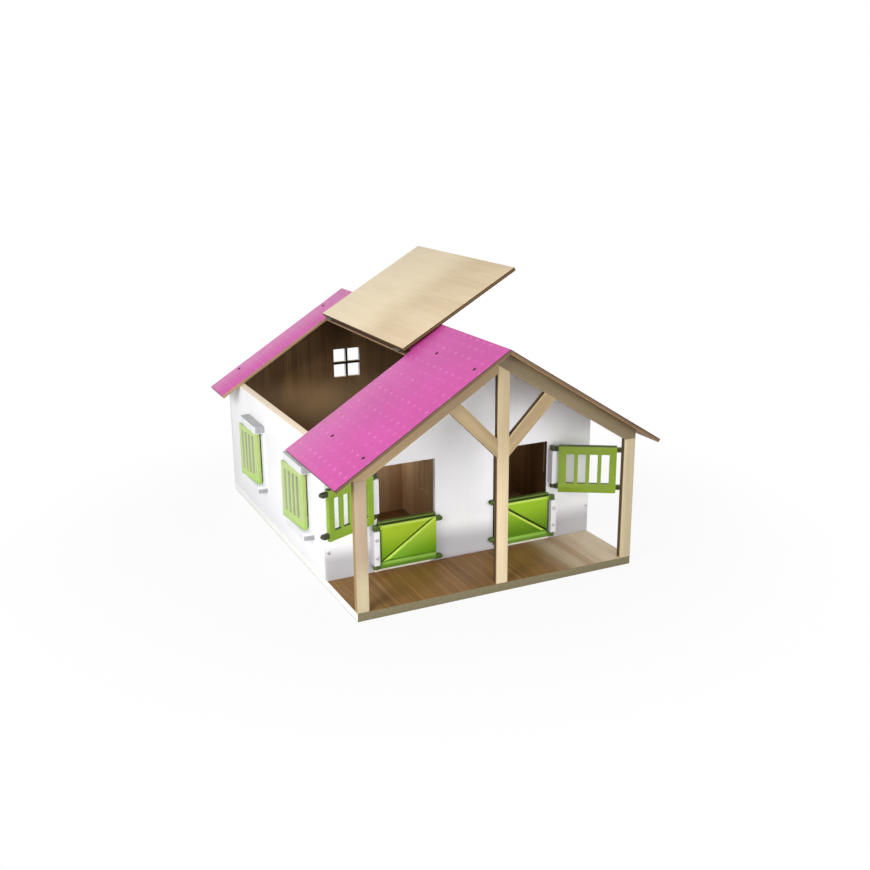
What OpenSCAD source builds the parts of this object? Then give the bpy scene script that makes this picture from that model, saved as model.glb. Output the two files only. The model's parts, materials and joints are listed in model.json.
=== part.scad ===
// Toy barn with a gabled roof, a lift-up roof flap, two stable doorways with split doors
// and four side window shutters. Units are millimetres. The origin is on the ground at the
// centre of the roof's outline, the front faces -Y and +Z is up.

/* [Floor and walls] */
// Width across the floor and across the outer faces of the side walls
house_w = 353; // [330:1:370]
// Depth of the floor board from front edge to back edge
floor_d = 487; // [470:1:495]
// Thickness of the floor board
floor_t = 10; // [8:0.5:12]
// Thickness of every wall board
wall_t = 6; // [5:0.5:8]
// Depth of the open porch between the floor's front edge and the front wall
porch_d = 93; // [92:1:110]

/* [Roof] */
// Width of the roof from eave to eave
roof_w = 405; // [390:1:430]
// Depth of the roof from front to back
roof_d = 500; // [496:1:530]
// Height of the ridge above the ground
ridge_z = 283; // [275:1:300]
// Slope of both roof sides in degrees
roof_pitch = 31.9; // [30:0.1:33]
// Thickness of the roof boards
roof_t = 4.5; // [3.5:0.1:6]
// Fixed strip between the ridge and the opening, measured down the slope
ridge_strip = 58.1; // [50:0.1:70]
// Depth of the fixed roof in front of the opening
front_roof_d = 160; // [140:1:175]
// Depth of the fixed roof behind the opening
back_roof_d = 62; // [50:1:80]

/* [Roof flap] */
// Length of the flap down the slope
flap_l = 172; // [160:1:176]
// Gap between the flap and the fixed roof when the flap is shut
flap_gap = 0.7; // [0.4:0.1:1.2]
// Angle through which the flap has been lifted from shut, in degrees
flap_angle = 182; // [181:0.5:183]
// Height of the hinge axis above the upper face of the roof boards
hinge_h = 2; // [1.9:0.1:2.6]
// Distance from each end of the flap to the middle of its hinge
hinge_inset = 23; // [15:1:40]

/* [Front truss] */
// Width of the upright posts
post_w = 14; // [12:0.5:18]
// Depth of the posts, rafters and braces from front to back
truss_d = 8; // [7:0.5:12]
// Depth of a rafter measured square to its length
rafter_h = 15.5; // [12:0.5:18]
// Width of a brace measured square to its length
brace_w = 15; // [11:0.5:16]
// Height of the lower corner of a brace on the middle post
brace_z = 160; // [150:1:168]
// Slope of a brace in degrees
brace_angle = 45; // [42:0.5:50]

/* [Doorways] */
// Distance from the middle of the front wall to the near side of a doorway
doorway_x = 39; // [36:0.5:44]
// Width of a doorway
doorway_w = 74.5; // [72:0.5:78]
// Height of the doorway's lower edge above the ground
sill_z = 15; // [14:0.5:16]
// Height of the doorway's upper edge above the ground
lintel_z = 138; // [137:0.5:145]

/* [Doors] */
// Distance from the far side of a doorway to the hinge axis
hinge_offset = 5.1; // [4.5:0.1:9]
// How much narrower a door leaf is than its doorway
leaf_clearance = 4.5; // [3:0.5:8]
// Thickness of a door leaf
leaf_t = 4.4; // [3.6:0.1:5]
// Height of a lower door leaf
lower_h = 57.4; // [54:0.1:60]
// Reach of the free end lugs beyond the leaf
lug_reach = 9.6; // [8:0.1:11]
// Height of every lug
lug_h = 5.4; // [4.6:0.1:6]
// Angle of the left upper door away from shut, in degrees
left_door_angle = 156; // [140:1:165]
// Angle of the right upper door away from shut, in degrees
right_door_angle = 149; // [140:1:165]
// Height of the lower left door's free end lugs over its hinge lugs
left_free_rise = -2; // [-3:0.5:4]
// Height of the lower right door's free end lugs over its hinge lugs
right_free_rise = 5; // [-3:0.5:5]

/* [Side windows] */
// Spacing of the two windows along a side wall
window_pitch = 184; // [170:1:195]
// Length of a window's lintel and sill along the wall
window_l = 70; // [68:1:76]
// Reach of the lintel and sill out from the wall
window_reach = 13; // [12:0.5:15]
// Height of a shutter leaf
shutter_h = 70.4; // [66:0.1:74]
// Angle of a shutter away from the wall, in degrees
shutter_angle = 7; // [4:0.5:12]

/* [Back window] */
// Width of the back window
back_window_w = 40.4; // [38:0.1:48]
// Height of the back window
back_window_h = 42.4; // [40:0.1:48]
// Width of the cross bars in the back window
cross_w = 3.6; // [2.5:0.1:4]

/* [Stalls] */
// Depth of the two stalls behind the front wall
stall_d = 172; // [160:1:185]
// Height of the stall walls above the ground
stall_z = 130; // [120:1:135]

/* [Pins and screws] */
// Radius of the door and shutter pivot pins
pin_r = 1.6; // [1.4:0.05:1.8]
// Radius of the flap hinge pins
rod_r = 0.8; // [0.7:0.05:0.9]
// Radial play of every pivot
pivot_play = 0.05; // [0.03:0.01:0.08]
// Radius of the screw heads
head_r = 2.2; // [1.8:0.1:2.4]
// Radius of the screw shanks
shank_r = 1.1; // [0.9:0.1:1.3]

/* [Hidden] */
// Roof slope and the main planes of the barn
tan_p = tan(roof_pitch);
cos_p = cos(roof_pitch);
sin_p = sin(roof_pitch);
half_w = house_w / 2;
half_roof = roof_w / 2;
slope_l = half_roof / cos_p;
skin_v = roof_t / cos_p;
ridge_in = ridge_z - skin_v;
y_back = roof_d / 2;
y_floor = y_back - floor_d;
y_wall = y_floor + porch_d;
y_inner = y_wall + wall_t;
y_back_in = y_back - wall_t;
y_stall = y_inner + stall_d;

// Truss: seat of the rafters on the outer posts
rafter_v = rafter_h / cos_p;
seat_x = half_w - post_w;
seat_z = ridge_in - seat_x * tan_p - rafter_v;
half_post = post_w / 2;

// Roof opening and the plates, knuckles and screws of the flap hinges
notch_y0 = front_roof_d - y_back;
notch_y1 = y_back - back_roof_d;
axis_u = -(ridge_strip + flap_gap / 2);
hinge_y0 = notch_y0 + flap_gap + hinge_inset;
hinge_y1 = notch_y1 - flap_gap - hinge_inset;
plate_t = 0.8;
plate_l = 13;
plate_w = 16;
plate_clear = 1.8;
knuckle_r = 1.6;
knuckle_l = 4.2;
knuckle_gap = 0.3;
plate_screw_u = 8.5;
plate_screw_y = 4.2;
plate_head_h = 0.7;
plate_head_r = 1.8;

// Door hinges: distances along the leaf and square to the front wall
doorway_x1 = doorway_x + doorway_w;
hinge_x = doorway_x1 + hinge_offset;
axis_gap = 6.2;
stop_gap = 0.3;
leaf_offset = 7;
leaf_w = doorway_w - leaf_clearance;
leaf_back = axis_gap - stop_gap;
leaf_front = leaf_back - leaf_t;
lug_r = 3.4;
lug_in = 1.8;
free_lug_front = 0.5;
post_front = 4.8;
hinge_post_w = 7.2;
post_screw_pitch = 22;
end_gap = 0.4;
pin_l = 4.2;
bore_l = 5;

// Heights of the door leaves and their lugs
door_foot_gap = 1.1;
door_split = 2.1;
door_head_gap = 2.2;
lower_z = sill_z + door_foot_gap;
upper_z = lower_z + lower_h + door_split;
upper_h = lintel_z - door_head_gap - upper_z;
lower_lug_drop = 3.7;
upper_lug_rise = 4.5;
upper_lug_drop = 2.4;
lower_lug0 = lower_z;
lower_lug1 = lower_z + lower_h - lower_lug_drop - lug_h;
upper_lug0 = upper_z + upper_lug_rise;
upper_lug1 = upper_z + upper_h - upper_lug_drop - lug_h;

// Rails of a lower door, and the grooves that border and cross its panel
rail_h = 4;
rail_front = 1.4;
rail_reach = 1.5;
groove_half = 2.9;
groove_d = 1.8;
diagonal_half = 2.5;
diagonal_d = 1.4;
cap_land = 1.2;
foot_land = 4.4;

// Slots of an upper door
slot_count = 4;
slot_bar = 4.4;
slot_hinge_margin = 9.2;
slot_free_margin = 8.4;
slots_w = leaf_w - slot_hinge_margin - slot_free_margin;
slot_w = (slots_w - (slot_count - 1) * slot_bar) / slot_count;
slot_foot = 11.8;
slot_head = 11.4;

// Side windows and their shutters
window_shift = 30;
window_mid = (y_inner + y_back_in) / 2 - window_shift;
window_z = 47;
bar_h = 9.5;
frame_t = 2.5;
frame_end = 5;
shutter_axis = 6.5;
shutter_inset = 13;
shutter_lip = 2.4;
shutter_end = 1.4;
shutter_gap = 0.7;
shutter_y = shutter_inset - window_l / 2;
shutter_l = window_l - shutter_inset + shutter_lip - shutter_end;
shutter_slot = 6.2;
shutter_bar = 4.6;
shutter_free = 7;
shutter_foot = 10;
shutter_head = 8;
window_inner_h = shutter_h + 2 * shutter_gap;
pane_w = 48;
pane_foot = 5;
pane_head = 4.4;
pane_z0 = window_z + bar_h + pane_foot;
pane_z1 = window_z + bar_h + window_inner_h - pane_head;
rib_w = 3;
rib_inset = 9;
rib_end = 10;

// Back window, battens under the roof and slots of the stall divider
back_window_x = 2;
back_window_z = 151.2;
batten = 12;
batten_x0 = 8;
batten_end = 2;
batten_x1 = half_w - wall_t - batten_end;
divider_slot_w = 9.3;
divider_slot_pitch = 15.7;
divider_slot_in = 91;
divider_slot_z0 = 57;
divider_slot_head = 15;

// Screws: distance down the slope, depth along the barn and height on the walls
inner_screw_s = 40.5;
outer_screw_inset = 13.2;
roof_screw_s = [inner_screw_s, (half_w - outer_screw_inset) / cos_p];
roof_screw_y = [y_floor + truss_d / 2, y_wall + wall_t / 2, y_back_in - batten / 2];
roof_bite = 10;
wall_screw_z = [44.7, 121];
wall_bite = 12;
tip_cover = 1;
head_t = 0.8;
drive_w = 0.6;
drive_d = 0.4;

// Facets of round shapes, and the overlap that joins or cuts shapes cleanly
round_n = 32;
screw_n = 20;
over = 1;

// Colours
paint_pink = [0.87, 0.39, 0.70];
paint_white = [0.95, 0.95, 0.94];
wood_pale = [0.84, 0.74, 0.58];
wood_brown = [0.45, 0.32, 0.20];
plastic_green = [0.55, 0.75, 0.16];
plastic_white = [0.93, 0.93, 0.92];
steel = [0.62, 0.62, 0.64];

// Height of the roof's upper plane at a distance x from the middle
function roof_top(x) = ridge_z - x * tan_p;

// Height of the roof's lower plane at a distance x from the middle
function roof_under(x) = ridge_in - x * tan_p;

// Extrude a profile drawn in X and Z from y0 to y1
module along_y(y0, y1) {
  translate([0, y1, 0])
    rotate([90, 0, 0])
      linear_extrude(height = y1 - y0)
        children();
}

// Mirror children to the other side of the barn when side is 1
module on_side(side) {
  mirror([side == 1 ? 1 : 0, 0, 0])
    children();
}

// Frame on the left slope: X up the slope, Z square to the board, origin on the ridge
module on_slope() {
  translate([0, 0, ridge_z])
    rotate([0, -roof_pitch, 0])
      children();
}

// Slotted screw standing on z = 0 with its shank going down
module screw(shank, head, radius) {
  difference() {
    union() {
      cylinder(h = head, r = radius, $fn = screw_n);
      translate([0, 0, -shank])
        cylinder(h = shank + head / 2, r = shank_r, $fn = screw_n);
    }
    translate([-radius - over, -drive_w / 2, head - drive_d])
      cube([2 * (radius + over), drive_w, drive_d + over]);
  }
}

// Floor under the barn and the porch
module floor_board() {
  color(wood_brown)
    translate([-half_w, y_floor, 0])
      cube([house_w, floor_d, floor_t]);
}

// Gable outline shared by the front and back walls
module gable() {
  polygon([
    [-half_w, floor_t], [half_w, floor_t], [half_w, roof_under(half_w)],
    [0, ridge_in], [-half_w, roof_under(half_w)]
  ]);
}

// Front wall with two doorways
module front_wall() {
  color(paint_white)
    along_y(y_wall, y_inner)
      difference() {
        gable();
        for (x = [-doorway_x1, doorway_x])
          translate([x, sill_z])
            square([doorway_w, lintel_z - sill_z]);
      }
}

// Back wall with a four pane window
module back_wall() {
  pane_x = (back_window_w - cross_w) / 2;
  pane_z = (back_window_h - cross_w) / 2;
  color(paint_white)
    along_y(y_back_in, y_back)
      difference() {
        gable();
        for (i = [0, 1])
          for (k = [0, 1])
            translate([
              back_window_x - back_window_w / 2 + i * (pane_x + cross_w),
              back_window_z + k * (pane_z + cross_w)
            ])
              square([pane_x, pane_z]);
      }
}

// Side wall between the front and back walls, its top cut to the roof slope
module side_wall() {
  difference() {
    along_y(y_inner, y_back_in)
      polygon([
        [-half_w, floor_t], [-half_w + wall_t, floor_t],
        [-half_w + wall_t, roof_under(half_w - wall_t)], [-half_w, roof_under(half_w)]
      ]);
    for (k = [-1, 1])
      translate([-half_w - over, window_mid + k * window_pitch / 2 - pane_w / 2, pane_z0])
        cube([wall_t + 2 * over, pane_w, pane_z1 - pane_z0]);
  }
}

module left_wall() {
  color(paint_white)
    side_wall();
}

module right_wall() {
  color(paint_white)
    on_side(1)
      side_wall();
}

// Cross wall behind the two stalls
module stall_back_wall() {
  color(wood_brown)
    translate([-half_w + wall_t, y_stall, floor_t])
      cube([house_w - 2 * wall_t, wall_t, stall_z - floor_t]);
}

// Divider between the two stalls with two upright slots
module stall_divider() {
  color(wood_pale)
    difference() {
      translate([-wall_t / 2, y_inner, floor_t])
        cube([wall_t, stall_d, stall_z - floor_t]);
      for (k = [0, 1])
        translate([-wall_t, y_inner + divider_slot_in + k * divider_slot_pitch, divider_slot_z0])
          cube([2 * wall_t, divider_slot_w, stall_z - divider_slot_head - divider_slot_z0]);
    }
}

// One whole roof side with its eave cut square to the board
module roof_side() {
  along_y(-y_back, y_back)
    polygon([
      [0, ridge_z], [-half_roof, roof_top(half_roof)],
      [-half_roof + roof_t * sin_p, roof_top(half_roof) - roof_t * cos_p],
      [0, ridge_in]
    ]);
}

// Left roof side with the opening that the flap covers
module roof_left() {
  color(paint_pink)
    difference() {
      roof_side();
      on_slope()
        translate([-slope_l - 2 * over, notch_y0, -roof_t - over])
          cube([slope_l + 2 * over - ridge_strip, notch_y1 - notch_y0, roof_t + 2 * over]);
    }
}

module roof_right() {
  color(paint_pink)
    on_side(1)
      roof_side();
}

// Turn children about the flap's hinge axis from shut to the lifted position
module lifted() {
  on_slope()
    translate([axis_u, 0, hinge_h])
      rotate([0, flap_angle, 0])
        translate([-axis_u, 0, -hinge_h])
          children();
}

// Flap lifted back over the ridge
module roof_flap() {
  color(paint_pink)
    lifted()
      translate([-ridge_strip - flap_gap - flap_l, notch_y0 + flap_gap, -roof_t])
        cube([flap_l, notch_y1 - notch_y0 - 2 * flap_gap, roof_t]);
}

// Batten under one roof side in front of the back wall
module back_batten() {
  batten_v = batten / cos_p;
  along_y(y_back_in - batten, y_back_in)
    polygon([
      [-batten_x0, roof_under(batten_x0)], [-batten_x1, roof_under(batten_x1)],
      [-batten_x1, roof_under(batten_x1) - batten_v],
      [-batten_x0, roof_under(batten_x0) - batten_v]
    ]);
}

module back_batten_left() {
  color(wood_pale)
    back_batten();
}

module back_batten_right() {
  color(wood_pale)
    on_side(1)
      back_batten();
}

// Upright post at the outer corner of the porch
module outer_post() {
  translate([-half_w, y_floor, floor_t])
    cube([post_w, truss_d, seat_z - floor_t]);
}

module post_left() {
  color(wood_pale)
    outer_post();
}

module post_right() {
  color(wood_pale)
    on_side(1)
      outer_post();
}

// Middle post, its top cut to the underside of the right rafter
module post_middle() {
  color(wood_pale)
    along_y(y_floor, y_floor + truss_d)
      polygon([
        [-half_post, floor_t], [half_post, floor_t],
        [half_post, ridge_in - rafter_v - half_post * tan_p],
        [-half_post, ridge_in - rafter_v + half_post * tan_p]
      ]);
}

// Left rafter, butted against the middle post and the end of the right rafter
module rafter_left() {
  color(wood_pale)
    along_y(y_floor, y_floor + truss_d)
      polygon([
        [0, ridge_in], [-half_w, roof_under(half_w)], [-half_w, seat_z],
        [-seat_x, seat_z], [-half_post, roof_under(half_post) - rafter_v],
        [-half_post, ridge_in - rafter_v + half_post * tan_p],
        [-rafter_h * sin_p, ridge_in - rafter_h * cos_p]
      ]);
}

// Right rafter, running over the middle post to a square end at the ridge
module rafter_right() {
  color(wood_pale)
    along_y(y_floor, y_floor + truss_d)
      polygon([
        [0, ridge_in], [half_w, roof_under(half_w)], [half_w, seat_z],
        [seat_x, seat_z], [-rafter_h * sin_p, ridge_in - rafter_h * cos_p]
      ]);
}

// Diagonal brace from the middle post up to a rafter
module brace() {
  tan_b = tan(brace_angle);
  top_z = brace_z + brace_w / cos(brace_angle);
  low_x = (ridge_in - rafter_v - brace_z + half_post * tan_b) / (tan_b + tan_p);
  high_x = (ridge_in - rafter_v - top_z + half_post * tan_b) / (tan_b + tan_p);
  along_y(y_floor, y_floor + truss_d)
    polygon([
      [-half_post, brace_z], [-half_post, top_z],
      [-high_x, roof_under(high_x) - rafter_v], [-low_x, roof_under(low_x) - rafter_v]
    ]);
}

module brace_left() {
  color(wood_pale)
    brace();
}

module brace_right() {
  color(wood_pale)
    on_side(1)
      brace();
}

// Hinge plate and knuckles on one side of the seam; direction 1 lies up the slope
module hinge_plate(direction, knuckles, bore) {
  translate([axis_u, 0, 0])
    difference() {
      union() {
        translate([direction > 0 ? plate_clear : -plate_l, -plate_w / 2, 0])
          cube([plate_l - plate_clear, plate_w, plate_t]);
        for (k = knuckles) {
          translate([0, k[1], hinge_h])
            rotate([90, 0, 0])
              cylinder(h = k[1] - k[0], r = knuckle_r, $fn = round_n);
          translate([direction > 0 ? 0 : -plate_clear - over, k[0], 0])
            cube([plate_clear + over, k[1] - k[0], plate_t]);
        }
      }
      translate([0, plate_w, hinge_h])
        rotate([90, 0, 0])
          cylinder(h = 2 * plate_w, r = bore, $fn = round_n);
    }
}

module fixed_plate(y) {
  half = plate_w / 2;
  color(steel)
    on_slope()
      translate([0, y, 0])
        hinge_plate(1, [[-half, -half + knuckle_l], [half - knuckle_l, half]], rod_r);
}

module moving_plate(y) {
  inner = plate_w / 2 - knuckle_l - knuckle_gap;
  color(steel)
    lifted()
      translate([0, y, 0])
        hinge_plate(-1, [[-inner, inner]], rod_r + pivot_play);
}

module hinge_rod(y) {
  color(steel)
    on_slope()
      translate([axis_u, y + plate_w / 2, hinge_h])
        rotate([90, 0, 0])
          cylinder(h = plate_w, r = rod_r, $fn = round_n);
}

module flap_hinge_fixed_front() {
  fixed_plate(hinge_y0);
}

module flap_hinge_fixed_back() {
  fixed_plate(hinge_y1);
}

module flap_hinge_moving_front() {
  moving_plate(hinge_y0);
}

module flap_hinge_moving_back() {
  moving_plate(hinge_y1);
}

module flap_hinge_rod_front() {
  hinge_rod(hinge_y0);
}

module flap_hinge_rod_back() {
  hinge_rod(hinge_y1);
}

// Two screws through each hinge plate into the board below it
module plate_screws(direction) {
  for (y = [hinge_y0, hinge_y1])
    for (k = [-1, 1])
      translate([axis_u + direction * plate_screw_u, y + k * plate_screw_y, plate_t])
        screw(plate_t + roof_t - tip_cover, plate_head_h, plate_head_r);
}

module flap_hinge_fixed_screws() {
  color(steel)
    on_slope()
      plate_screws(1);
}

module flap_hinge_moving_screws() {
  color(steel)
    lifted()
      plate_screws(-1);
}

// Place children on the left hinge axis: X along the leaf, Y towards the wall when shut
module on_hinge(open) {
  translate([-hinge_x, y_wall - axis_gap, 0])
    rotate([0, 0, -open])
      children();
}

// Rounded lug round the hinge axis, from z = low upwards
module hinge_lug(low) {
  translate([0, 0, low])
    linear_extrude(height = lug_h)
      union() {
        circle(r = lug_r, $fn = round_n);
        polygon([
          [0, -lug_in], [leaf_offset + over, -lug_in], [leaf_offset + over, leaf_back],
          [leaf_offset - lug_in, leaf_back], [0, lug_in]
        ]);
      }
}

// Lug with a round tip at the free end, stopping short of the wall when shut
module free_lug(low) {
  depth = leaf_back - free_lug_front;
  tip = leaf_offset + leaf_w + lug_reach - lug_h / 2;
  translate([0, free_lug_front, low])
    union() {
      translate([leaf_offset + leaf_w - over, 0, 0])
        cube([lug_reach + over - lug_h / 2, depth, lug_h]);
      translate([tip, depth, lug_h / 2])
        rotate([90, 0, 0])
          cylinder(h = depth, r = lug_h / 2, $fn = round_n);
    }
}

// Pivot pin between the heights a and b
module pivot_pin(a, b) {
  translate([0, 0, a])
    cylinder(h = b - a, r = pin_r, $fn = round_n);
}

// Four lugs and two pivot pins of a door; hinge lugs start at low0 and low1, free ones at rise
module door_lugs(low0, low1, rise) {
  hinge_lug(low0);
  hinge_lug(low1);
  free_lug(low0 + rise);
  free_lug(low1 + rise);
  pivot_pin(low0 + lug_h - over, low0 + lug_h + pin_l);
  pivot_pin(low1 - pin_l, low1 + over);
}

// Upper door leaf with four upright slots
module upper_door(open) {
  on_hinge(open)
    union() {
      difference() {
        translate([leaf_offset, leaf_front, upper_z])
          cube([leaf_w, leaf_t, upper_h]);
        for (k = [0 : slot_count - 1])
          translate([
            leaf_offset + slot_hinge_margin + k * (slot_w + slot_bar), leaf_front - over,
            upper_z + slot_foot
          ])
            cube([slot_w, leaf_t + 2 * over, upper_h - slot_foot - slot_head]);
      }
      door_lugs(upper_lug0, upper_lug1, 0);
    }
}

// Groove along X with slanted sides, cut from a face that looks along -Y
module groove(l, half, depth) {
  spread = half * (depth + over) / depth;
  rotate([90, 0, 90])
    linear_extrude(height = l)
      polygon([[depth, 0], [-over, -spread], [-over, spread]]);
}

// Lower door panel between grooves under its top edge and over its foot, with a diagonal groove
module lower_door(rise) {
  low = lower_z + foot_land + groove_half;
  high = lower_z + lower_h - cap_land - groove_half;
  slant = atan2(high - low, leaf_w);
  on_hinge(0)
    union() {
      difference() {
        union() {
          translate([leaf_offset, -rail_front, lower_z])
            cube([leaf_w, rail_front + leaf_back, lower_h]);
          for (z = [lower_z, lower_z + lower_h - rail_h])
            translate([leaf_offset - rail_reach, -rail_front, z])
              cube([leaf_w + rail_reach, rail_front + leaf_back, rail_h]);
        }
        for (z = [low, high])
          translate([leaf_offset - rail_reach - over, -rail_front, z])
            groove(leaf_w + rail_reach + 2 * over, groove_half, groove_d);
        intersection() {
          translate([leaf_offset, -rail_front, low])
            rotate([0, -slant, 0])
              translate([-lower_h, 0, 0])
                groove(leaf_w + 2 * lower_h, diagonal_half, diagonal_d);
          translate([leaf_offset - over, -2 * groove_d - rail_front, low])
            cube([leaf_w + 2 * over, 4 * groove_d, high - low]);
        }
      }
      door_lugs(lower_lug0, lower_lug1, rise);
    }
}

module lower_door_left() {
  color(plastic_green)
    lower_door(left_free_rise);
}

module lower_door_right() {
  color(plastic_green)
    on_side(1)
      lower_door(right_free_rise);
}

module upper_door_left() {
  color(plastic_green)
    upper_door(left_door_angle);
}

module upper_door_right() {
  color(plastic_green)
    on_side(1)
      upper_door(right_door_angle);
}

// Hinge post on the wall between two lugs, with a blind bore in each end
module hinge_post(low0, low1) {
  foot = low0 + lug_h + end_gap;
  head = low1 - end_gap;
  on_hinge(0)
    difference() {
      translate([-hinge_post_w / 2, -post_front, foot])
        cube([hinge_post_w, post_front + axis_gap, head - foot]);
      translate([0, 0, foot - over])
        cylinder(h = bore_l + over, r = pin_r + pivot_play, $fn = round_n);
      translate([0, 0, head - bore_l])
        cylinder(h = bore_l + over, r = pin_r + pivot_play, $fn = round_n);
    }
}

module lower_hinge_post_left() {
  color(plastic_white)
    hinge_post(lower_lug0, lower_lug1);
}

module lower_hinge_post_right() {
  color(plastic_white)
    on_side(1)
      hinge_post(lower_lug0, lower_lug1);
}

module upper_hinge_post_left() {
  color(plastic_white)
    hinge_post(upper_lug0, upper_lug1);
}

module upper_hinge_post_right() {
  color(plastic_white)
    on_side(1)
      hinge_post(upper_lug0, upper_lug1);
}

// Two screws through each lower hinge post into the front wall
module lower_post_screws() {
  mid = (lower_lug0 + lug_h + lower_lug1) / 2;
  color(steel)
    for (side = [0, 1])
      on_side(side)
        for (k = [-1, 1])
          translate([-hinge_x, y_wall - axis_gap - post_front, mid + k * post_screw_pitch / 2])
            rotate([90, 0, 0])
              screw(post_front + axis_gap + wall_t - tip_cover, head_t, head_r);
}

// Two screws from inside the front wall into each upper hinge post
module upper_post_screws() {
  mid = (upper_lug0 + lug_h + upper_lug1) / 2;
  color(steel)
    for (side = [0, 1])
      on_side(side)
        for (k = [-1, 1])
          translate([-hinge_x, y_inner, mid + k * post_screw_pitch / 2])
            rotate([-90, 0, 0])
              screw(wall_t + axis_gap + post_front - tip_cover, head_t, head_r);
}

// Plan of a lintel or sill with rounded outer corners
module bar_plan() {
  half = window_l / 2;
  union() {
    translate([-window_reach + frame_end, -half])
      square([window_reach - frame_end, window_l]);
    translate([-window_reach, -half + frame_end])
      square([window_reach, window_l - 2 * frame_end]);
    for (k = [-1, 1])
      translate([-window_reach + frame_end, k * (half - frame_end)])
        circle(r = frame_end, $fn = round_n);
  }
}

// Window frame on the left wall: back plate, lintel, sill and stop rib
module window_frame(k) {
  top_z = window_z + bar_h + window_inner_h;
  rib_out = shutter_axis - leaf_t / 2 - stop_gap;
  translate([-half_w, window_mid + k * window_pitch / 2, 0])
    difference() {
      union() {
        translate([0, 0, window_z])
          linear_extrude(height = bar_h)
            bar_plan();
        translate([0, 0, top_z])
          linear_extrude(height = bar_h)
            bar_plan();
        difference() {
          translate([-frame_t, -window_l / 2, window_z])
            cube([frame_t, window_l, window_inner_h + 2 * bar_h]);
          translate([-frame_t - over, -pane_w / 2, pane_z0])
            cube([frame_t + 2 * over, pane_w, pane_z1 - pane_z0]);
        }
        translate([-rib_out, shutter_y + shutter_l - rib_inset, pane_z0 + rib_end])
          cube([rib_out, rib_w, pane_z1 - pane_z0 - 2 * rib_end]);
      }
      translate([-shutter_axis, shutter_y, window_z + bar_h - bore_l])
        cylinder(h = bore_l + over, r = pin_r + pivot_play, $fn = round_n);
      translate([-shutter_axis, shutter_y, top_z - over])
        cylinder(h = bore_l + over, r = pin_r + pivot_play, $fn = round_n);
    }
}

// Slotted shutter leaf with a pivot pin at each end of its hinge edge
module shutter(k) {
  foot = window_z + bar_h + shutter_gap;
  slot_l = shutter_h - shutter_foot - shutter_head;
  step = shutter_slot + shutter_bar;
  first = shutter_l - shutter_lip - shutter_free - shutter_slot;
  translate([-half_w - shutter_axis, window_mid + k * window_pitch / 2 + shutter_y, foot])
    rotate([0, 0, shutter_angle])
      union() {
        difference() {
          translate([-leaf_t / 2, -shutter_lip, 0])
            cube([leaf_t, shutter_l, shutter_h]);
          for (i = [0 : slot_count - 1])
            translate([-leaf_t, first - i * step, shutter_foot])
              cube([2 * leaf_t, shutter_slot, slot_l]);
        }
        pivot_pin(-pin_l, over);
        pivot_pin(shutter_h - over, shutter_h + pin_l);
      }
}

module window_frame_left_front() {
  color(plastic_white)
    window_frame(-1);
}

module window_frame_left_back() {
  color(plastic_white)
    window_frame(1);
}

module window_frame_right_front() {
  color(plastic_white)
    on_side(1)
      window_frame(-1);
}

module window_frame_right_back() {
  color(plastic_white)
    on_side(1)
      window_frame(1);
}

module shutter_left_front() {
  color(plastic_green)
    shutter(-1);
}

module shutter_left_back() {
  color(plastic_green)
    shutter(1);
}

module shutter_right_front() {
  color(plastic_green)
    on_side(1)
      shutter(-1);
}

module shutter_right_back() {
  color(plastic_green)
    on_side(1)
      shutter(1);
}

// Six screws down through one roof side into the wood below it
module roof_screws() {
  on_slope()
    for (s = roof_screw_s)
      for (y = roof_screw_y)
        translate([-s, y, -head_t + drive_d])
          screw(roof_t + roof_bite, head_t, head_r);
}

module roof_screws_left() {
  color(steel)
    roof_screws();
}

module roof_screws_right() {
  color(steel)
    on_side(1)
      roof_screws();
}

// Screws through the front wall into the ends of the side walls
module front_wall_screws() {
  color(steel)
    for (side = [0, 1])
      on_side(side)
        for (z = wall_screw_z)
          translate([-half_w + wall_t / 2, y_wall + head_t - drive_d, z])
            rotate([90, 0, 0])
              screw(wall_t + wall_bite, head_t, head_r);
}

// Screws through the back wall into the ends of the side walls
module back_wall_screws() {
  color(steel)
    for (side = [0, 1])
      on_side(side)
        for (z = wall_screw_z)
          translate([-half_w + wall_t / 2, y_back - head_t, z])
            rotate([-90, 0, 0])
              screw(wall_t + wall_bite, head_t, head_r);
}

floor_board();
front_wall();
back_wall();
left_wall();
right_wall();
stall_back_wall();
stall_divider();
roof_left();
roof_right();
roof_flap();
back_batten_left();
back_batten_right();
post_left();
post_middle();
post_right();
rafter_left();
rafter_right();
brace_left();
brace_right();
flap_hinge_fixed_front();
flap_hinge_fixed_back();
flap_hinge_moving_front();
flap_hinge_moving_back();
flap_hinge_rod_front();
flap_hinge_rod_back();
flap_hinge_fixed_screws();
flap_hinge_moving_screws();
lower_door_left();
lower_door_right();
upper_door_left();
upper_door_right();
lower_hinge_post_left();
lower_hinge_post_right();
upper_hinge_post_left();
upper_hinge_post_right();
lower_post_screws();
upper_post_screws();
window_frame_left_front();
window_frame_left_back();
window_frame_right_front();
window_frame_right_back();
shutter_left_front();
shutter_left_back();
shutter_right_front();
shutter_right_back();
roof_screws_left();
roof_screws_right();
front_wall_screws();
back_wall_screws();
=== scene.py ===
"""Looks of a toy barn with a lift-up roof flap, split stable doors and slotted shutters.

Every board and moulding takes its shape from its CAD node, with rounded edges and a finish for
each of its faces. Lengths are metres in the barn's own frame, the porch faces -Y, +Z is up.
"""
import json
import math
import random

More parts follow.
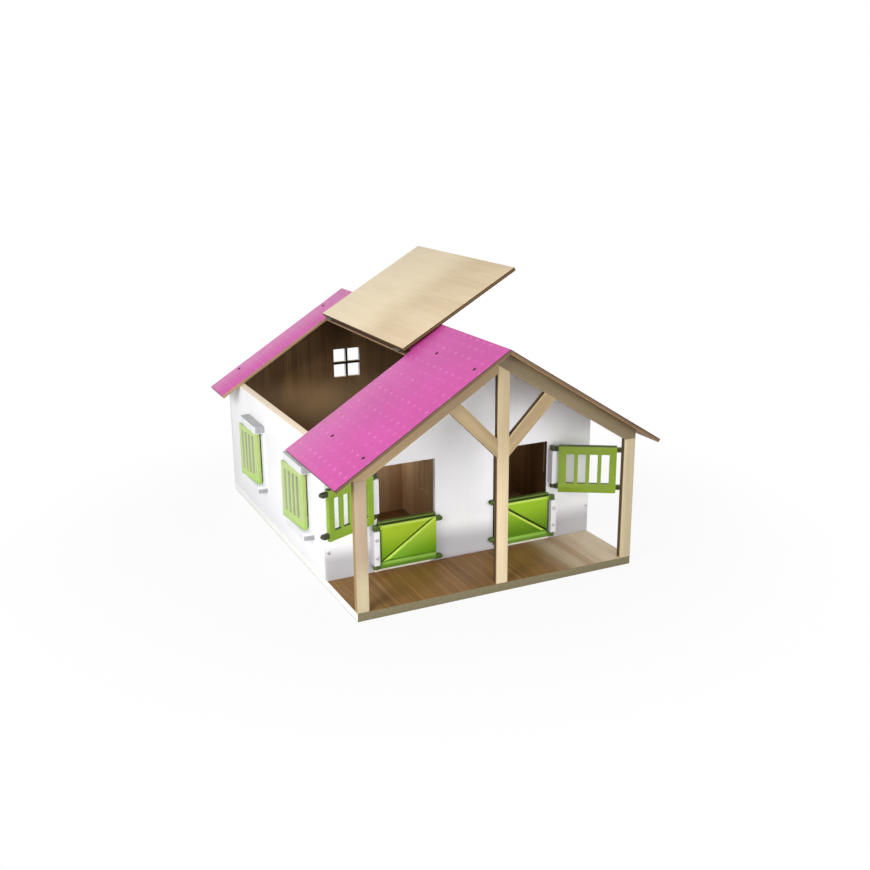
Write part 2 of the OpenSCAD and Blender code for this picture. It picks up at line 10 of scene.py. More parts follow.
import bmesh
import bpy
from mathutils import Euler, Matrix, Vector


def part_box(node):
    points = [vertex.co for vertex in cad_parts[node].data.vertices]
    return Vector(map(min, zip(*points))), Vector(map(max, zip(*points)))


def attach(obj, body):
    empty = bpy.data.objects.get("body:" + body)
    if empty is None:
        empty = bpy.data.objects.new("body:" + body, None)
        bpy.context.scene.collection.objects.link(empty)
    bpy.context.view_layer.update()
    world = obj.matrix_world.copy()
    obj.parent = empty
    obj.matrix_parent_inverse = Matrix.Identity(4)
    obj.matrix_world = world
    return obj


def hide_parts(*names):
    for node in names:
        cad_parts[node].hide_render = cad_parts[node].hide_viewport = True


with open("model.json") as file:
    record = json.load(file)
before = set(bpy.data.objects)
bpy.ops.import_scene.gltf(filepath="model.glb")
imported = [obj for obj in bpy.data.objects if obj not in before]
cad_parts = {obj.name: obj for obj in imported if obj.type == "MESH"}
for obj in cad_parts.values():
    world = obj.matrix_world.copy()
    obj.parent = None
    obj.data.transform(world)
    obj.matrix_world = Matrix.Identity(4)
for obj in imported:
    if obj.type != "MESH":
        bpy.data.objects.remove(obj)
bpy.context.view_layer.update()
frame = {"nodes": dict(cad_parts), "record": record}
NODES = frame["nodes"]
RECORD = frame["record"]
BODY_OF = {n: b for b, members in RECORD["behaviour"]["bodies"].items() for n in members}
SLOT_OF = {part["node"]: part["material_slot"] for part in RECORD["subparts"]}

MM = 0.001
X, Y, Z = Vector((1, 0, 0)), Vector((0, 1, 0)), Vector((0, 0, 1))

# Colour sockets of the Mix node, which share their names with its other data types
MIX_A, MIX_B, MIX_COLOUR = 6, 7, 2
BEVEL_SAMPLES = 4
EDGE_BEND = 0.93                    # cosine between face and rounded normal at a worn edge
SHINY, DULL = 0.34, 0.48            # roughness of the mouldings
GLOSSY, SATIN = 0.5, 0.22           # and the specular level that goes with each

# Zones of the finishes, in metres, and how softly some of them end
TILE_ROW, TILE_WIDTH = 27.1 * MM, 15.5 * MM         # tile pattern of the roof
STRIP_DOWN = (50 * MM, 59.4 * MM)                   # bare strip at the flap, down from the ridge
OPENING_Y = (-0.0895, 0.1880)                       # roof opening, along the ridge
BACK_WINDOW = ((-0.0182, 0.1512), (0.0222, 0.1936))  # x and z of its lower and upper corners
BACK_LOW_Z, BACK_HIGH_Z = 0.105, 0.165              # painted light: the back wall's inside gets paler downwards
BACK_SHADE_X = (-0.10, 0.05)                         # and painted shade: darker to the right
FRONT_FOOT_SHADE = (0.040, 0.066)                         # painted shade: grey foot of the front wall, in z
DOOR_SILL_Z, DOOR_SILL_X = 0.0152, (0.046, 0.118)   # painted light: pale strips on the wall under the doorways
FLOOR_EDGE_SHADOW = (0.0006, 0.0016)                  # painted shade: dark lower edge of the floor board, where it meets the floor, in z
POST_GLINT_Y = -0.2350                                # painted highlight on the rounded front corner of the posts' sides
PANEL_SHADE = (0.020, 0.066)                        # painted shade: a lower door gets paler upwards, in z
GROOVE_Y = (-0.1500, -0.1505)                       # far side and mouth of its grooves, painted in shade at the far side
UPPER_TOP_SHADE = (0.1346, 0.1340)                        # painted shade: the upper doors darken from the floor of their slots up, in z
LOWER_LEAF = (0.0418, 0.1130)                       # |x| between the lugs of a lower door; the lugs are painted dark, as shade
UPPER_LEAF = (0.0069, 0.0772)                       # the same from the hinge of an upper door; its lugs are painted near black, as shade
SHUTTER_FOOT = (0.060, 0.070)                       # brighter foot of the shutters, in z
FRAME_WHITE = (0.0528, 0.1290)                      # z between a window frame's sill and lintel; its ends outside are painted grey, as shade
BAND_SOFT, PLY_SOFT, LIP_SOFT = 0.3 * MM, 0.2 * MM, 0.6 * MM


# ---------------------------------------------------------------- colours and shader building

def srgb(r, g, b):
    """Linear colour of an 8 bit sRGB one."""
    def linear(v):
        v /= 255
        return v / 12.92 if v <= 0.04045 else ((v + 0.055) / 1.055) ** 2.4
    return (linear(r), linear(g), linear(b), 1)


class Shader:
    """A material under construction: a Principled shader and short calls that add nodes to it."""

    def __init__(self, name, roughness, specular):
        self.material = bpy.data.materials.new(name)
        self.material.use_nodes = True
        self.tree = self.material.node_tree
        self.bsdf = self.tree.nodes["Principled BSDF"]
        self.bsdf.inputs["Roughness"].default_value = roughness
        self.bsdf.inputs["Specular IOR Level"].default_value = specular

    def put(self, socket, value):
        """Give a socket a value, or link it to another node's output."""
        if hasattr(value, "is_linked"):
            self.tree.links.new(value, socket)
        else:
            socket.default_value = value

    def set(self, name, value):
        """Give the Principled shader's socket of that name a value or a link."""
        self.put(self.bsdf.inputs[name], value)

    def grain(self):
        """Coordinates along the grain, across it and through the board, in metres."""
        node = self.tree.nodes.new("ShaderNodeAttribute")
        node.attribute_name = "grain"
        return node.outputs["Vector"]

    def place(self):
        """The point's place in the barn's frame."""
        return self.tree.nodes.new("ShaderNodeTexCoord").outputs["Object"]

    def stretch(self, vector, scale, offset=(0, 0, 0)):
        node = self.tree.nodes.new("ShaderNodeMapping")
        self.put(node.inputs["Vector"], vector)
        node.inputs["Scale"].default_value = scale
        node.inputs["Location"].default_value = offset
        return node.outputs["Vector"]

    def noise(self, vector, scale, detail, roughness=0.55, distortion=0.0):
        node = self.tree.nodes.new("ShaderNodeTexNoise")
        self.put(node.inputs["Vector"], vector)
        node.inputs["Scale"].default_value = scale
        node.inputs["Detail"].default_value = detail
        node.inputs["Roughness"].default_value = roughness
        node.inputs["Distortion"].default_value = distortion
        return node.outputs["Fac"]

    def calc(self, operation, a, b=0.0):
        node = self.tree.nodes.new("ShaderNodeMath")
        node.operation = operation
        for socket, value in zip(node.inputs, (a, b)):
            self.put(socket, value)
        return node.outputs[0]

    def ramp(self, value, low, high, out_low=0.0, out_high=1.0):
        """Value mapped smoothly from low..high to out_low..out_high."""
        node = self.tree.nodes.new("ShaderNodeMapRange")
        node.interpolation_type = "SMOOTHSTEP"
        for name, v in (("Value", value), ("From Min", low), ("From Max", high),
                        ("To Min", out_low), ("To Max", out_high)):
            self.put(node.inputs[name], v)
        return node.outputs["Result"]

    def mix(self, factor, a, b):
        """Colour that goes from a to b with the factor."""
        node = self.tree.nodes.new("ShaderNodeMix")
        node.data_type = "RGBA"
        self.put(node.inputs["Factor"], factor)
        self.put(node.inputs[MIX_A], a)
        self.put(node.inputs[MIX_B], b)
        return node.outputs[MIX_COLOUR]

    def xyz(self, vector):
        """The three components of a vector."""
        node = self.tree.nodes.new("ShaderNodeSeparateXYZ")
        self.put(node.inputs[0], vector)
        return node.outputs

    def band(self, value, low, high, soft=BAND_SOFT):
        """One where value lies between low and high, zero outside."""
        return self.calc("MULTIPLY", self.ramp(value, low - soft, low + soft),
                         self.ramp(value, high + soft, high - soft))

    def bump(self, height, distance):
        """Relief of the surface: height, from 0 to 1, times a distance in metres."""
        node = self.tree.nodes.new("ShaderNodeBump")
        self.put(node.inputs["Height"], height)
        node.inputs["Distance"].default_value = distance
        node.inputs["Strength"].default_value = 1.0
        self.set("Normal", node.outputs["Normal"])

    def worn(self, colour, edge_colour, width, amount):
        """Colour with its edges rubbed towards another one, in patches."""
        node = self.tree.nodes.new("ShaderNodeBevel")
        node.inputs["Radius"].default_value = width
        node.samples = BEVEL_SAMPLES
        geometry = self.tree.nodes.new("ShaderNodeNewGeometry")
        dot = self.tree.nodes.new("ShaderNodeVectorMath")
        dot.operation = "DOT_PRODUCT"
        self.put(dot.inputs[0], node.outputs["Normal"])
        self.put(dot.inputs[1], geometry.outputs["Normal"])
        edge = self.ramp(dot.outputs["Value"], 1.0, EDGE_BEND)
        patches = self.ramp(self.noise(self.place(), 260, 3), 0.35, 0.65, 0.25, 1.0)
        return self.mix(self.calc("MULTIPLY", self.calc("MULTIPLY", edge, patches), amount),
                        colour, edge_colour)


# ---------------------------------------------------------------- materials

def wood(name, light, dark, line, broad, contrast, roughness=0.62, wave=0.5, streak=None,
         share=0.0, head=None, sheen=None):
    """Planed wood: broad bands, fine lines and short dark pores, all along the grain.

    broad is the number of bands in a stretch of wood and wave how much they wander; contrast is
    that of the lines and pores; streak adds pale fine lines, of which share shows; head is
    ((z0, z1), colour), a darker tone that the wood takes from z0 up, painted shade; sheen is
    (axis, (v0, v1), colour), a painted sheen, a paler tone towards v1 along an axis of the barn's
    frame, 0 for x or 1 for y.
    """
    s = Shader(name, roughness, 0.35)
    grain = s.grain()
    bands = s.noise(s.stretch(grain, (broad * 0.4, broad * 6, broad * 6)), 1, 3, 0.5, wave)
    lines = s.noise(s.stretch(grain, (10, 700, 700)), 1, 5, 0.6, 0.3)
    pores = s.noise(s.stretch(grain, (120, 2600, 2600)), 1, 2, 0.5)
    colour = s.mix(s.ramp(bands, 0.30, 0.70), light, dark)
    if streak:
        pale = s.noise(s.stretch(grain, (4, 330, 330), (3.1, 1.7, 0.4)), 1, 4, 0.62)
        colour = s.mix(s.ramp(pale, 0.50, 0.72, 0.0, share), colour, streak)
    # Painted shade: the wood gets darker upwards
    if head:
        (z0, z1), tone = head
        colour = s.mix(s.ramp(s.xyz(s.place())[2], z0, z1, 0.0, 0.85), colour, tone)
    # Painted sheen: paler towards one end, standing in for light there
    if sheen:
        axis, (start, end), tone = sheen
        wobble = s.calc("MULTIPLY", s.calc("SUBTRACT", bands, 0.5), 0.12)
        v = s.calc("ADD", s.xyz(s.place())[axis], wobble)
        colour = s.mix(s.ramp(v, start, end, 0.0, 0.7), colour, tone)
    colour = s.mix(s.ramp(lines, 0.42, 0.75, 0.0, 0.50 * contrast), colour, dark)
    colour = s.mix(s.ramp(pores, 0.60, 0.74, 0.0, 0.50 * contrast), colour, line)
    s.set("Base Color", colour)
    height = s.calc("ADD", s.calc("MULTIPLY", lines, 0.6), s.ramp(pores, 0.55, 0.75, 0.5, 0.0))
    s.bump(height, 0.06 * MM)
    s.set("Roughness", s.ramp(lines, 0.2, 0.8, roughness - 0.08, roughness + 0.1))
    return s.material


def back_wood(name, light, dark, line, low, bars):
    """Brown inner face of the back wall: low is its tone below, bars that of the window's cross.

    It also gets darker to the right, as painted shade, and paler low down, as painted light.
    """
    s = Shader(name, 0.62, 0.3)
    grain = s.grain()
    x, _, z = s.xyz(s.place())
    bands = s.noise(s.stretch(grain, (3, 60, 60)), 1, 3, 0.5, 0.5)
    lines = s.noise(s.stretch(grain, (10, 700, 700)), 1, 5, 0.6, 0.3)
    colour = s.mix(s.ramp(bands, 0.30, 0.70), light, dark)
    colour = s.mix(s.ramp(lines, 0.42, 0.75, 0.0, 0.5), colour, line)
    # Painted light: paler low down, where the left wall shades the back wall
    colour = s.mix(s.ramp(z, BACK_HIGH_Z, BACK_LOW_Z, 0.0, 0.85), colour, low)
    # Painted shade: darker towards the right, under the flap and ridge
    colour = s.mix(s.ramp(x, *BACK_SHADE_X, 0.0, 0.62), colour, line)
    (x0, z0), (x1, z1) = BACK_WINDOW
    across = s.calc("MULTIPLY", s.calc("GREATER_THAN", x, x0), s.calc("LESS_THAN", x, x1))
    up = s.calc("MULTIPLY", s.calc("GREATER_THAN", z, z0), s.calc("LESS_THAN", z, z1))
    colour = s.mix(s.calc("MULTIPLY", across, up), colour, bars)
    s.set("Base Color", colour)
    s.bump(lines, 0.05 * MM)
    return s.material


def end_wood(name, light, dark, line, ply=None, lip=None):
    """Cut edge of a board: layers along the edge with short broken fibres.

    ply is (depth, colour), a layer of its own tone up to that depth from the grain's origin, and
    lip the colour of a painted highlight on the front corner.
    """
    s = Shader(name, 0.8, 0.2)
    grain = s.grain()
    layers = s.noise(s.stretch(grain, (18, 500, 1500)), 1, 3, 0.6)
    fibres = s.noise(s.stretch(grain, (900, 900, 2600)), 1, 4, 0.7)
    colour = s.mix(s.ramp(layers, 0.35, 0.65), light, dark)
    colour = s.mix(s.ramp(fibres, 0.5, 0.75, 0.0, 0.7), colour, line)
    if ply:
        depth, tone = ply
        through = s.calc("ABSOLUTE", s.xyz(grain)[2])
        colour = s.mix(s.ramp(through, depth + PLY_SOFT, depth - PLY_SOFT), colour, tone)
    # Painted highlight: the front corner of a side is paler, as where light catches it
    if lip:
        y = s.xyz(s.place())[1]
        colour = s.mix(s.ramp(y, POST_GLINT_Y + LIP_SOFT, POST_GLINT_Y - LIP_SOFT), colour, lip)
    s.set("Base Color", colour)
    s.bump(fibres, 0.09 * MM)
    return s.material


def roof_paint(name, base, pale, deep, edge, strip=None):
    """Satin paint over wood with a faint staggered tile pattern pressed into it.

    strip is the colour of the bare wood between the flap's hinges, on the side that has the flap.
    """
    s = Shader(name, 0.42, 0.45)
    place = s.place()
    down, along, _ = s.xyz(s.grain())
    row = s.calc("DIVIDE", down, TILE_ROW)
    odd = s.calc("PINGPONG", s.calc("FLOOR", row), 1)
    column = s.calc("ADD", s.calc("DIVIDE", along, TILE_WIDTH), s.calc("MULTIPLY", odd, 0.5))
    in_row = s.calc("FRACT", row)
    in_column = s.calc("ABSOLUTE", s.calc("SUBTRACT", s.calc("FRACT", column), 0.5))
    # In fractions of a tile: the joint is a dash between two tiles, the lip a faint bow below it
    joint = s.calc("MULTIPLY", s.ramp(in_column, 0.17, 0.05),
                   s.calc("MULTIPLY", s.ramp(in_row, 0.02, 0.10), s.ramp(in_row, 0.24, 0.13)))
    lip = s.calc("MULTIPLY", s.ramp(in_column, 0.42, 0.10),
                 s.calc("MULTIPLY", s.ramp(in_row, 0.46, 0.54), s.ramp(in_row, 0.70, 0.60)))
    patches = s.ramp(s.noise(place, 34, 2), 0.35, 0.65, 0.35, 1.0)
    marks = s.calc("MULTIPLY", patches,
                   s.calc("ADD", joint, s.calc("MULTIPLY", lip, 0.30)))
    cloud = s.noise(place, 14, 3)
    colour = s.mix(s.ramp(cloud, 0.3, 0.7), base, deep)
    fine = s.noise(place, 900, 3)
    colour = s.mix(s.ramp(fine, 0.35, 0.8, 0.0, 0.12), colour, pale)
    colour = s.mix(s.calc("MULTIPLY", marks, 0.65), colour, pale)
    if strip:
        top, bottom = STRIP_DOWN
        step = s.calc("MULTIPLY", s.ramp(down, top, top + LIP_SOFT),
                      s.band(s.xyz(place)[1], *OPENING_Y))
        step = s.calc("MULTIPLY", step, s.ramp(down, bottom + LIP_SOFT, bottom))
        colour = s.mix(step, colour, strip)
    s.set("Base Color", s.worn(colour, edge, 0.6 * MM, 0.75))
    s.bump(s.calc("ADD", marks, s.calc("MULTIPLY", fine, 0.25)), 0.10 * MM)
    s.set("Roughness", s.ramp(fine, 0.2, 0.8, 0.36, 0.50))
    return s.material


def wall_paint(name, base, shade, edge, foot=None, sill=None):
    """Satin white paint with faint roller streaks.

    foot is ((z0, z1), colour), a painted shade on its lowest part, and sill the colour of the
    strips under the doorways, painted light where the door shades the wall.
    """
    s = Shader(name, 0.5, 0.4)
    place = s.place()
    grain = s.grain()
    streaks = s.noise(s.stretch(grain, (6, 260, 260)), 1, 4, 0.55, 0.4)
    cloud = s.noise(place, 11, 2)
    fine = s.noise(place, 1500, 2)
    colour = s.mix(s.ramp(cloud, 0.35, 0.7, 0.0, 0.5), base, shade)
    colour = s.mix(s.ramp(streaks, 0.45, 0.8, 0.0, 0.35), colour, shade)
    x, _, z = s.xyz(place)
    # Painted shade: the lowest part is darker, with a cloudy upper edge
    if foot:
        (z0, z1), tone = foot
        height = s.calc("ADD", z, s.calc("MULTIPLY", cloud, 0.8 * (z1 - z0)))
        colour = s.mix(s.ramp(height, z1, z0), colour, tone)
    # Painted light: a pale strip under each doorway, where the door above shades the wall
    if sill:
        low = s.ramp(z, DOOR_SILL_Z + 0.4 * MM, DOOR_SILL_Z - 0.2 * MM)
        between = s.band(s.calc("ABSOLUTE", x), *DOOR_SILL_X)
        colour = s.mix(s.calc("MULTIPLY", low, between), colour, sill)
    s.set("Base Color", s.worn(colour, edge, 0.5 * MM, 0.45))
    height = s.calc("ADD", s.calc("MULTIPLY", streaks, 0.6), s.calc("MULTIPLY", fine, 0.4))
    s.bump(height, 0.04 * MM)
    s.set("Roughness", s.ramp(fine, 0.2, 0.8, 0.44, 0.58))
    return s.material


def moulded(name, base, deep, pale, roughness=SHINY, foot=None, depth=None, ends=None):
    """Moulded plastic: a fine sparked skin, faint flow marks and paler worn corners.

    foot is ((z0, z1), colour), the tone that the plastic has at z0 and loses up to z1, painted
    shade on the doors; depth is the same along y, painted shade for the far side of a groove; ends
    is ((t0, t1), colour), the painted shade of what lies outside t0..t1 across the grain, such as
    a door's lugs.
    """
    s = Shader(name, roughness, GLOSSY if roughness <= SHINY else SATIN)
    place = s.place()
    flow = s.noise(s.stretch(place, (30, 30, 90)), 1, 3, 0.5, 0.6)
    skin = s.noise(place, 2600, 2, 0.5)
    colour = s.mix(s.ramp(flow, 0.35, 0.7, 0.0, 0.5), base, deep)
    _, y, z = s.xyz(place)
    for zone, value in ((foot, z), (depth, y)):
        if zone:
            (full, none), tone = zone
            colour = s.mix(s.ramp(value, none, full), colour, tone)
    if ends:
        span, tone = ends
        inside = s.band(s.calc("ABSOLUTE", s.xyz(s.grain())[1]), *span)
        colour = s.mix(inside, tone, colour)
    s.set("Base Color", s.worn(colour, pale, 0.7 * MM, 0.35))
    s.bump(s.calc("ADD", s.calc("MULTIPLY", skin, 0.5), flow), 0.03 * MM)
    s.set("Roughness", s.ramp(skin, 0.25, 0.75, roughness - 0.06, roughness + 0.08))
    return s.material


def metal(name, base, dark, roughness):
    """Zinc plated steel with drawn lines and small dull patches."""
    s = Shader(name, roughness, 0.5)
    s.bsdf.inputs["Metallic"].default_value = 1.0
    place = s.place()
    lines = s.noise(s.stretch(place, (300, 4000, 4000)), 1, 3)
    patches = s.noise(place, 500, 3)
    s.set("Base Color", s.mix(s.ramp(patches, 0.4, 0.7, 0.0, 0.6), base, dark))
    s.set("Roughness", s.ramp(patches, 0.3, 0.7, roughness - 0.08, roughness + 0.15))
    s.bump(lines, 0.02 * MM)
    return s.material


PINK = srgb(209, 80, 166)
PALE_PINK = srgb(234, 136, 200)
DEEP_PINK = srgb(199, 77, 156)
PINK_EDGE = srgb(120, 48, 84)
# Painted light and shade of the door green: lit faces, shaded faces and lugs in shade
LIT_GREEN = srgb(190, 218, 86)
SHADED_GREEN = srgb(36, 54, 8)
SHADED_LUG_GREEN = srgb(76, 100, 40)
SHADED_BLACK_GREEN = srgb(46, 54, 20)

MATERIALS = {
    "pink": roof_paint("pink_roof_paint", PINK, PALE_PINK, DEEP_PINK, PINK_EDGE),
    "pink_left": roof_paint("pink_left_roof_paint", PINK, PALE_PINK, DEEP_PINK, PINK_EDGE,
                            strip=srgb(86, 60, 42)),
    "white": wall_paint("white_wall_paint", srgb(251, 251, 252), srgb(244, 244, 247),
                        srgb(214, 210, 204)),
    "wall_end": wall_paint("white_wall_end_paint", srgb(228, 227, 225), srgb(216, 215, 213),
                           srgb(190, 188, 184)),
    "base_edge": wall_paint("white_base_edge_paint", srgb(250, 249, 246), srgb(240, 238, 232),
                            srgb(206, 200, 192), foot=(FLOOR_EDGE_SHADOW, srgb(96, 92, 84))),
    "front": wall_paint("front_wall_paint", srgb(250, 250, 253), srgb(240, 241, 245),
                        srgb(160, 152, 142), foot=(FRONT_FOOT_SHADE, srgb(190, 190, 195)),
                        sill=srgb(252, 248, 234)),
    "brown": wood("brown_inner_wood", srgb(160, 122, 80), srgb(118, 86, 54), srgb(66, 48, 28),
                  broad=7.0, contrast=1.0),
    "back": back_wood("brown_back_wood", srgb(176, 136, 92), srgb(142, 108, 70),
                      srgb(46, 34, 20), low=srgb(238, 198, 148), bars=srgb(26, 20, 14)),
    "stall": wood("brown_stall_wood", srgb(252, 218, 174), srgb(216, 176, 130), srgb(124, 90, 56),
                  broad=7.0, contrast=1.2),
    "jamb": wood("shaded_jamb_wood", srgb(78, 54, 34), srgb(58, 40, 24), srgb(36, 24, 14),
                 broad=7.0, contrast=0.8),
    "floor": wood("brown_floor_wood", srgb(138, 100, 53), srgb(110, 78, 39), srgb(80, 54, 27),
                  broad=5.0, contrast=0.7, roughness=0.40, streak=srgb(182, 144, 94), share=0.55,
                  sheen=(0, (0.060, 0.165), srgb(250, 230, 198))),
    "peach": wood("divider_wood", srgb(246, 214, 172), srgb(228, 190, 146), srgb(170, 128, 88),
                  broad=9.0, contrast=0.7),
    "pale": wood("pale_post_wood", srgb(228, 210, 174), srgb(212, 192, 154), srgb(168, 144, 108),
                 broad=10.0, contrast=0.7, head=((0.10, 0.20), srgb(170, 152, 118))),
    "post": wood("grey_post_wood", srgb(190, 176, 144), srgb(170, 154, 122), srgb(128, 110, 82),
                 broad=10.0, contrast=0.8),
    "post_front": wood("pink_grey_post_wood", srgb(208, 196, 160), srgb(190, 174, 140),
                       srgb(140, 120, 90), broad=10.0, contrast=0.8,
                       head=((0.035, 0.075), srgb(172, 148, 126))),
    "rafter": wood("rafter_wood", srgb(130, 114, 86), srgb(108, 94, 70), srgb(74, 60, 42),
                   broad=10.0, contrast=0.9),
    "brace": wood("brace_wood", srgb(184, 162, 124), srgb(156, 134, 98), srgb(114, 94, 64),
                  broad=10.0, contrast=0.9),
    "veneer": wood("pale_veneer", srgb(230, 210, 176), srgb(216, 194, 158), srgb(192, 164, 126),
                   broad=8.0, contrast=0.4, wave=0.6, streak=srgb(240, 222, 192), share=0.45,
                   sheen=(1, (0.000, 0.080), srgb(255, 238, 204))),
    "left_rafter": wood("left_rafter_wood", srgb(188, 162, 122), srgb(162, 136, 100),
                        srgb(112, 90, 60), broad=10.0, contrast=0.9,
                        head=((0.17, 0.23), srgb(146, 126, 96))),
    # under: the roof's pale underside painted dark brown, as shade
    "under": wood("shaded_roof_underside_wood", srgb(136, 106, 74), srgb(112, 86, 58), srgb(78, 56, 36),
                  broad=8.0, contrast=0.8),
    "edge": end_wood("brown_cut_edge", srgb(134, 126, 98), srgb(110, 102, 78), srgb(76, 68, 50)),
    "roof_edge": end_wood("brown_roof_edge", srgb(126, 106, 80), srgb(104, 84, 60),
                          srgb(60, 44, 30), ply=(1.0 * MM, srgb(66, 46, 36))),
    "notch": end_wood("notch_edge", srgb(196, 164, 128), srgb(170, 138, 104),
                      srgb(124, 96, 70)),
    "flap_edge": end_wood("dark_flap_edge", srgb(72, 52, 36), srgb(52, 38, 26),
                          srgb(32, 22, 14), ply=(0.8 * MM, srgb(120, 98, 62))),
    "side": end_wood("dark_side_edge", srgb(104, 84, 60), srgb(82, 64, 44), srgb(48, 36, 24),
                     lip=srgb(214, 192, 154)),
    # olive: the side wood painted paler, as light
    "olive": end_wood("lit_side_edge", srgb(186, 162, 116), srgb(158, 134, 92),
                      srgb(112, 92, 62)),
    "bare": end_wood("pale_cut_edge", srgb(226, 200, 168), srgb(206, 178, 144),
                     srgb(160, 130, 98)),
    "cream": end_wood("cream_cut_edge", srgb(246, 230, 208), srgb(234, 214, 188),
                      srgb(204, 180, 150)),
    # The left doors get paler copies of the right doors' greens, as painted light
    "green": moulded("green_door_plastic", srgb(134, 160, 40), srgb(122, 147, 34),
                     srgb(148, 174, 58), foot=(UPPER_TOP_SHADE, srgb(66, 84, 20)),
                     ends=(UPPER_LEAF, SHADED_BLACK_GREEN)),
    "green_left": moulded("green_left_door_plastic", srgb(146, 182, 42), srgb(134, 170, 36),
                          srgb(160, 192, 60), foot=(UPPER_TOP_SHADE, srgb(66, 84, 20)),
                          ends=(UPPER_LEAF, SHADED_BLACK_GREEN)),
    "green_panel": moulded("green_panel_plastic", srgb(170, 200, 48), srgb(158, 190, 42),
                           srgb(174, 204, 64), roughness=DULL,
                           foot=(PANEL_SHADE, srgb(98, 154, 20)),
                           ends=(LOWER_LEAF, SHADED_LUG_GREEN)),
    "green_right": moulded("green_right_panel_plastic", srgb(150, 190, 38), srgb(138, 180, 32),
                           srgb(156, 196, 52), roughness=DULL,
                           foot=(PANEL_SHADE, srgb(84, 128, 20)),
                           ends=(LOWER_LEAF, SHADED_LUG_GREEN)),
    "green_top": moulded("shaded_green_rail_plastic", srgb(100, 120, 56), srgb(86, 106, 46),
                         srgb(116, 134, 72), roughness=DULL, ends=(LOWER_LEAF, SHADED_LUG_GREEN)),
    "green_mid": moulded("shaded_green_foot_plastic", srgb(96, 140, 36), srgb(84, 126, 30),
                         srgb(112, 154, 50), roughness=DULL, ends=(LOWER_LEAF, SHADED_LUG_GREEN)),
    "green_rim": moulded("lit_green_rim_plastic", srgb(134, 176, 62), srgb(122, 164, 54),
                         srgb(146, 186, 76), roughness=DULL, ends=(LOWER_LEAF, SHADED_LUG_GREEN)),
    "green_light": moulded("green_lit_plastic", LIT_GREEN, srgb(180, 208, 76),
                           srgb(200, 222, 100), roughness=DULL, depth=(GROOVE_Y, SHADED_GREEN)),
    "green_dark": moulded("green_shaded_plastic", SHADED_GREEN, srgb(30, 46, 6),
                          srgb(46, 64, 14), roughness=DULL),
    "green_black": moulded("shaded_green_black_plastic", SHADED_BLACK_GREEN, srgb(34, 42, 14),
                           srgb(58, 68, 28)),
    "green_shutter": moulded("green_shutter_plastic", srgb(186, 208, 126), srgb(174, 198, 112),
                             srgb(200, 218, 150), foot=(SHUTTER_FOOT, srgb(176, 212, 100))),
    # shutter_slot: painted light, paler than the leaf against the shade in the slots
    "shutter_slot": moulded("shutter_slot_plastic", srgb(206, 216, 180), srgb(196, 208, 168),
                            srgb(214, 222, 190)),
    "plastic": moulded("white_plastic", srgb(236, 236, 240), srgb(222, 223, 229),
                       srgb(248, 248, 250)),
    "frame_end": moulded("frame_end_plastic", srgb(244, 244, 246), srgb(234, 234, 237),
                         srgb(250, 250, 252), ends=(FRAME_WHITE, srgb(170, 170, 172))),
    "plastic_side": moulded("shaded_hinge_side_plastic", srgb(206, 204, 212), srgb(196, 194, 203),
                            srgb(222, 221, 227)),
    "plastic_top": moulded("shaded_grey_plastic", srgb(168, 167, 168), srgb(158, 157, 159),
                           srgb(196, 196, 198)),
    "zinc": metal("zinc_plate", srgb(120, 116, 108), srgb(84, 80, 74), 0.42),
    "screw": metal("screw_steel", srgb(204, 202, 208), srgb(168, 166, 172), 0.45),
    "roof_screw": moulded("painted_screw", srgb(84, 26, 58), srgb(66, 16, 44),
                          srgb(96, 34, 68), roughness=0.5),
}


# ---------------------------------------------------------------- pieces from the CAD nodes

BARN = (0, 0, 0)            # origin of the barn's frame
GRAIN_SHIFT = 5             # metres within which a board's grain may start
WELD = 1e-6                 # points of a node this close are one
FLAT = math.radians(0.5)    # faces that turn less than this are joined
CORNER = math.radians(32)   # edges that turn more are rounded
SHARP = math.radians(38)    # and those that still turn more than this keep a crisp shade

# Widths of the rounding, and its steps on a moulding
BOARD, STICK, PANEL, MOULDING = 0.5 * MM, 0.5 * MM, 0.4 * MM, 0.7 * MM
PLATE, SCREW_HEAD = 0.12 * MM, 0.15 * MM
SMOOTH = 3


def softened(node, width, segments):
    """A copy of a node's mesh with its flat faces joined and its edges rounded by width."""
    mesh = NODES[node].data.copy()
    mesh.materials.clear()
    bm = bmesh.new()
    bm.from_mesh(mesh)
    bmesh.ops.remove_doubles(bm, verts=bm.verts, dist=WELD)
    bmesh.ops.dissolve_limit(bm, angle_limit=FLAT, verts=bm.verts, edges=bm.edges)
    bm.to_mesh(mesh)
    bm.free()
    mesh.name = node + "_piece"
    piece = bpy.data.objects.new(node + "_piece", mesh)
    bpy.context.scene.collection.objects.link(piece)
    bevel = piece.modifiers.new("Rounded edges", "BEVEL")
    bevel.width = width
    bevel.segments = segments
    bevel.limit_method = "ANGLE"
    bevel.angle_limit = CORNER
    bevel.use_clamp_overlap = True
    bevel.harden_normals = False
    graph = bpy.context.evaluated_depsgraph_get()
    rounded = bpy.data.meshes.new_from_object(piece.evaluated_get(graph))
    piece.modifiers.clear()
    piece.data = rounded
    piece.data.shade_smooth()
    piece.data.set_sharp_from_angle(angle=SHARP)
    return piece


def set_grain(piece, along, across, origin, shift):
    """Write each point's shifted coordinates along, across and through the grain."""
    along = Vector(along).normalized()
    across = Vector(across).normalized()
    through = along.cross(across)
    start = Vector(origin)
    attribute = piece.data.attributes.new("grain", "FLOAT_VECTOR", "POINT")
    for value, vertex in zip(attribute.data, piece.data.vertices):
        p = vertex.co - start
        value.vector = Vector((p.dot(along), p.dot(across), p.dot(through))) + shift


